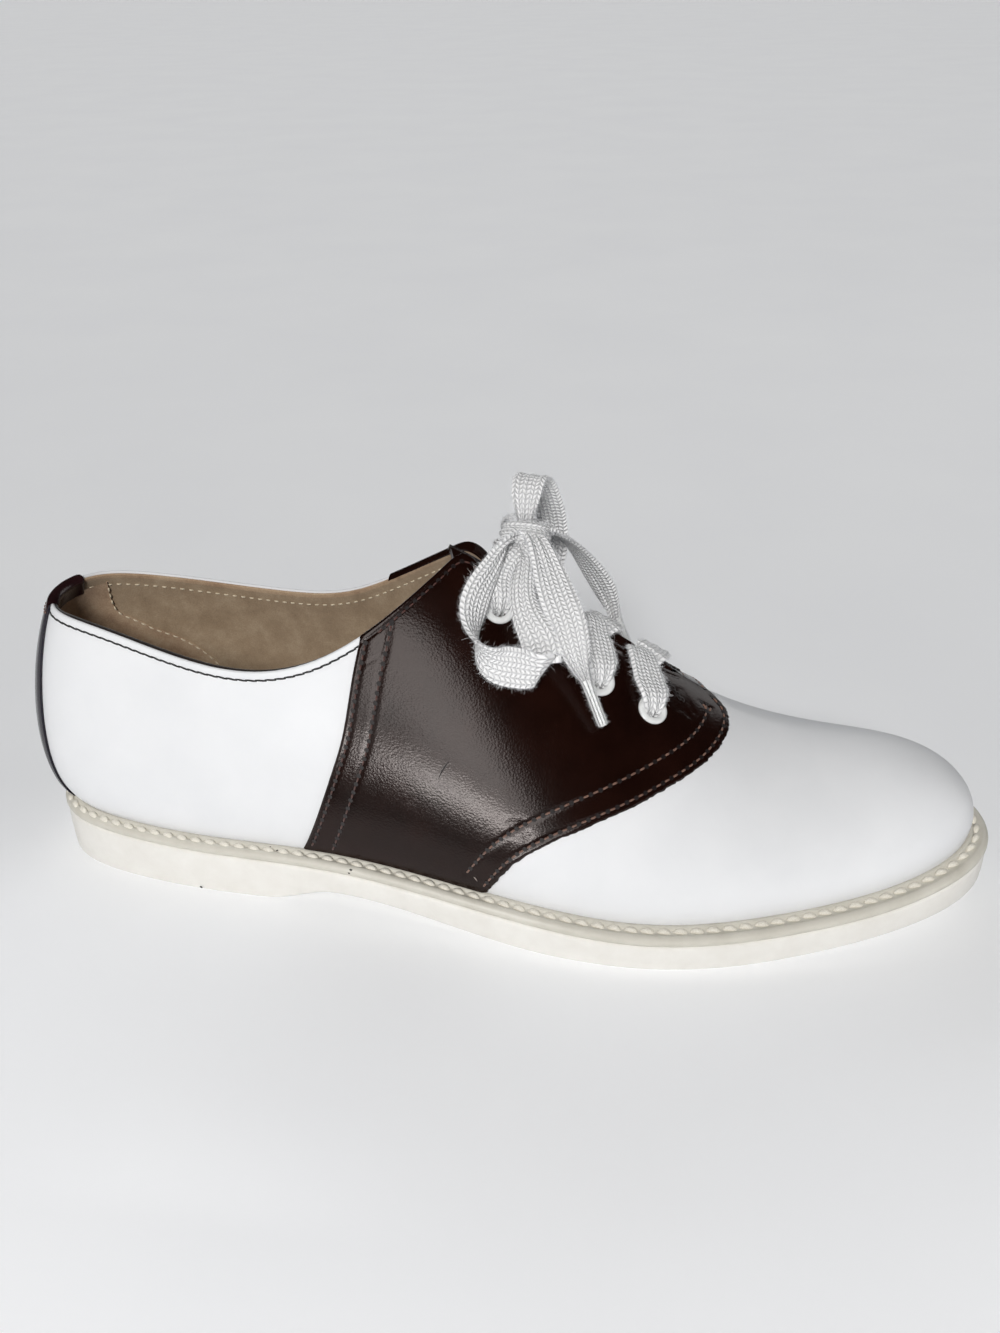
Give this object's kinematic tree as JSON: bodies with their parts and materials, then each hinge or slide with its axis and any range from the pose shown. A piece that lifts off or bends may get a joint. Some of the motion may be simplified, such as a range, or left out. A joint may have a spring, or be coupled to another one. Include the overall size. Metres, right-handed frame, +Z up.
{
  "type": "saddle shoe",
  "caption": "Right low lace-up shoe with a white leather upper, a dark brown saddle across the instep, a stitched cream welt and a flat rubber sole; it stands empty on its sole.",
  "frame": {"origin": "on the floor, at the middle of the box of the shoe without its bow", "axes": "+X from heel to toe, +Y towards the inner (medial) side, +Z up"},
  "size_m": [0.3174, 0.1098, 0.1343],
  "materials": {
    "outsole": "matte cream rubber",
    "welt": "satin ivory, sewn",
    "insole": "matte tan",
    "upper": "smooth semi-gloss white",
    "saddle": "smooth glossy dark brown",
    "backstay": "smooth semi-gloss near black",
    "tongue": "smooth dark brown",
    "eyelet": "gloss white enamel",
    "lace": "flat woven cotton",
    "aglet": "satin white"
  },
  "bodies": {
    "root": {"outsole": "outsole", "welt": "welt", "insole": "insole", "upper": "upper", "saddle": "saddle", "backstay": "backstay", "tongue": "tongue", "eyelet_lateral_1": "eyelet", "eyelet_lateral_2": "eyelet", "eyelet_lateral_3": "eyelet", "eyelet_lateral_4": "eyelet", "eyelet_medial_1": "eyelet", "eyelet_medial_2": "eyelet", "eyelet_medial_3": "eyelet", "eyelet_medial_4": "eyelet", "lace_cross_1": "lace", "lace_cross_2": "lace", "lace_cross_3": "lace", "lace_hitch": "lace", "lace_knot": "lace", "lace_loop_lateral": "lace", "lace_loop_medial": "lace", "lace_end_lateral": "lace", "lace_end_medial": "lace", "aglet_lateral": "aglet", "aglet_medial": "aglet"}
  },
  "joints": []
}
